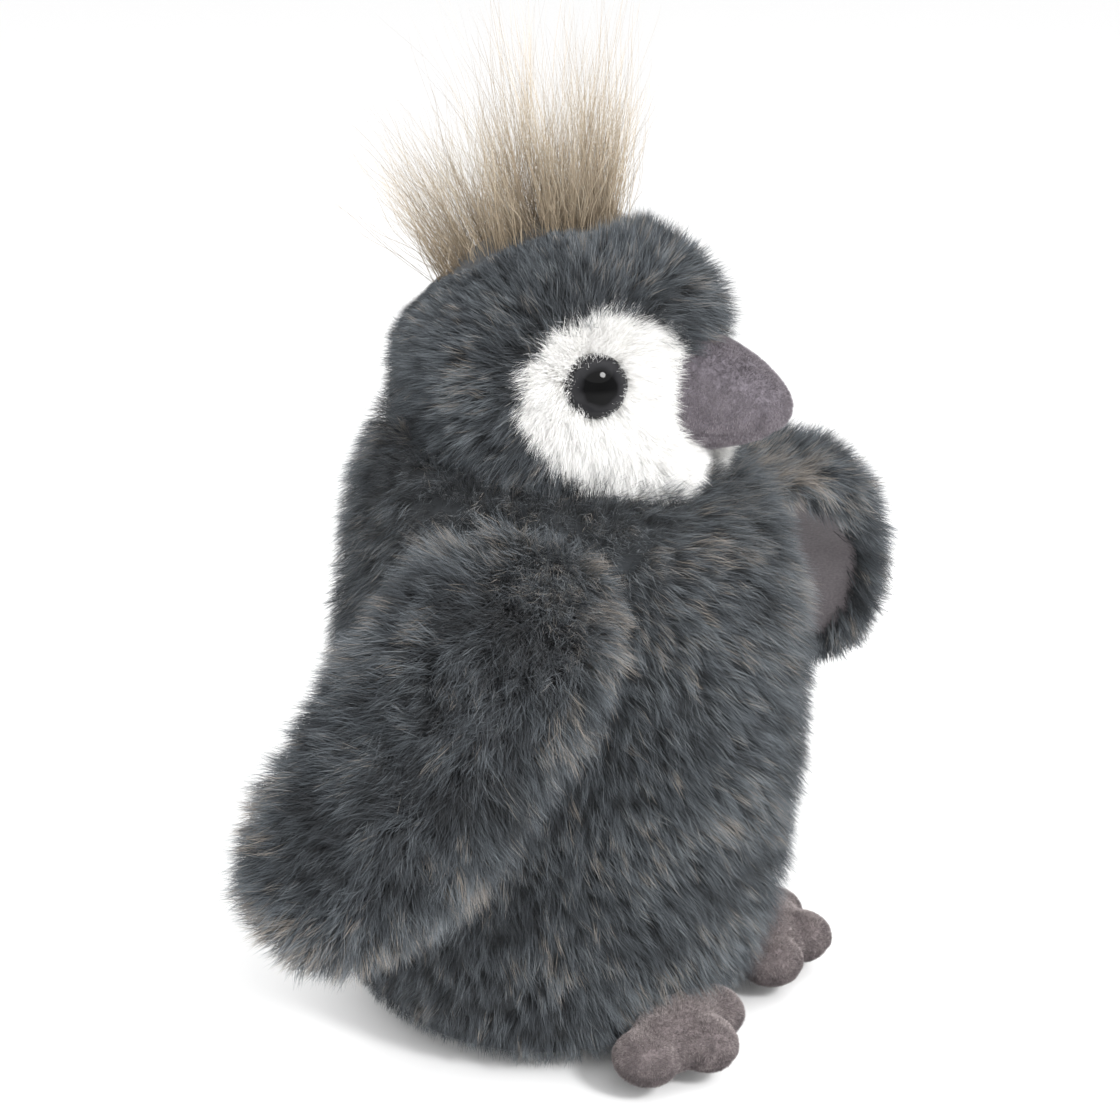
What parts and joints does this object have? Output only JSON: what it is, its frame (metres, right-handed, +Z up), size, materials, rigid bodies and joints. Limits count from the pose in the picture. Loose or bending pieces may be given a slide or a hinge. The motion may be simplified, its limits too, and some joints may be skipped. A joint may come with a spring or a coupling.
{
  "type": "plush penguin",
  "caption": "Standing plush penguin chick with long dark pile, white face patches, a velour beak and feet, a hair tuft and flapping wings.",
  "frame": {"origin": "middle of the flat underside of the base panel", "axes": "+Z up, the penguin faces -Y, its left wing is on the +X side"},
  "size_m": [0.2122, 0.1189, 0.23],
  "materials": {
    "dark_plush": "matt long-pile plush",
    "white_plush": "matt short-pile plush",
    "velour": "short velour",
    "tuft_hair": "long straight fibre",
    "eye_plastic": "polished",
    "washer_plastic": "moulded",
    "fibre_filling": "loose fibre",
    "pouch_cloth": "plain woven",
    "pellet_plastic": "loose pellets"
  },
  "bodies": {
    "torso": {"belly_panel": "dark_plush", "back_panel_left": "dark_plush", "back_panel_right": "dark_plush", "base_panel": "dark_plush", "crown_panel": "dark_plush", "head_side_left": "dark_plush", "head_side_right": "dark_plush", "face_patch_left": "white_plush", "face_patch_right": "white_plush", "beak_cover": "velour", "beak_gusset": "velour", "beak_filling": "fibre_filling", "eye_left": "eye_plastic", "eye_right": "eye_plastic", "eye_washer_left": "washer_plastic", "eye_washer_right": "washer_plastic", "head_tuft": "tuft_hair", "head_filling": "fibre_filling", "body_filling": "fibre_filling", "pellet_pouch": "pouch_cloth", "pellets": "pellet_plastic"},
    "wing_left": {"wing_fur_left": "dark_plush", "wing_lining_left": "velour", "wing_filling_left": "fibre_filling"},
    "foot_left": {"foot_cover_left": "velour", "foot_sole_left": "velour", "foot_filling_left": "fibre_filling"},
    "wing_right": {"wing_fur_right": "dark_plush", "wing_lining_right": "velour", "wing_filling_right": "fibre_filling"},
    "foot_right": {"foot_cover_right": "velour", "foot_sole_right": "velour", "foot_filling_right": "fibre_filling"}
  },
  "joints": [
    {"name": "wing_flap_left", "type": "hinge", "parent": "torso", "child": "wing_left", "pos_m": [0.04868, -0.01967, 0.124], "axis": [-0.3746, -0.9272, 0], "range_deg": [-12, 48], "stiffness_Nm_per_rad": 0.05},
    {"name": "wing_flap_right", "type": "hinge", "parent": "torso", "child": "wing_right", "pos_m": [-0.04868, -0.01967, 0.124], "axis": [-0.3746, 0.9272, 0], "range_deg": [-1, 60], "stiffness_Nm_per_rad": 0.05},
    {"name": "foot_flex_left", "type": "hinge", "parent": "torso", "child": "foot_left", "pos_m": [0.0262, -0.04538, 0.0105], "axis": [-0.9397, -0.342, 0], "range_deg": [-15, 30], "stiffness_Nm_per_rad": 0.03},
    {"name": "foot_flex_right", "type": "hinge", "parent": "torso", "child": "foot_right", "pos_m": [-0.0262, -0.04538, 0.0105], "axis": [-0.9397, 0.342, 0], "range_deg": [-15, 30], "stiffness_Nm_per_rad": 0.03}
  ]
}
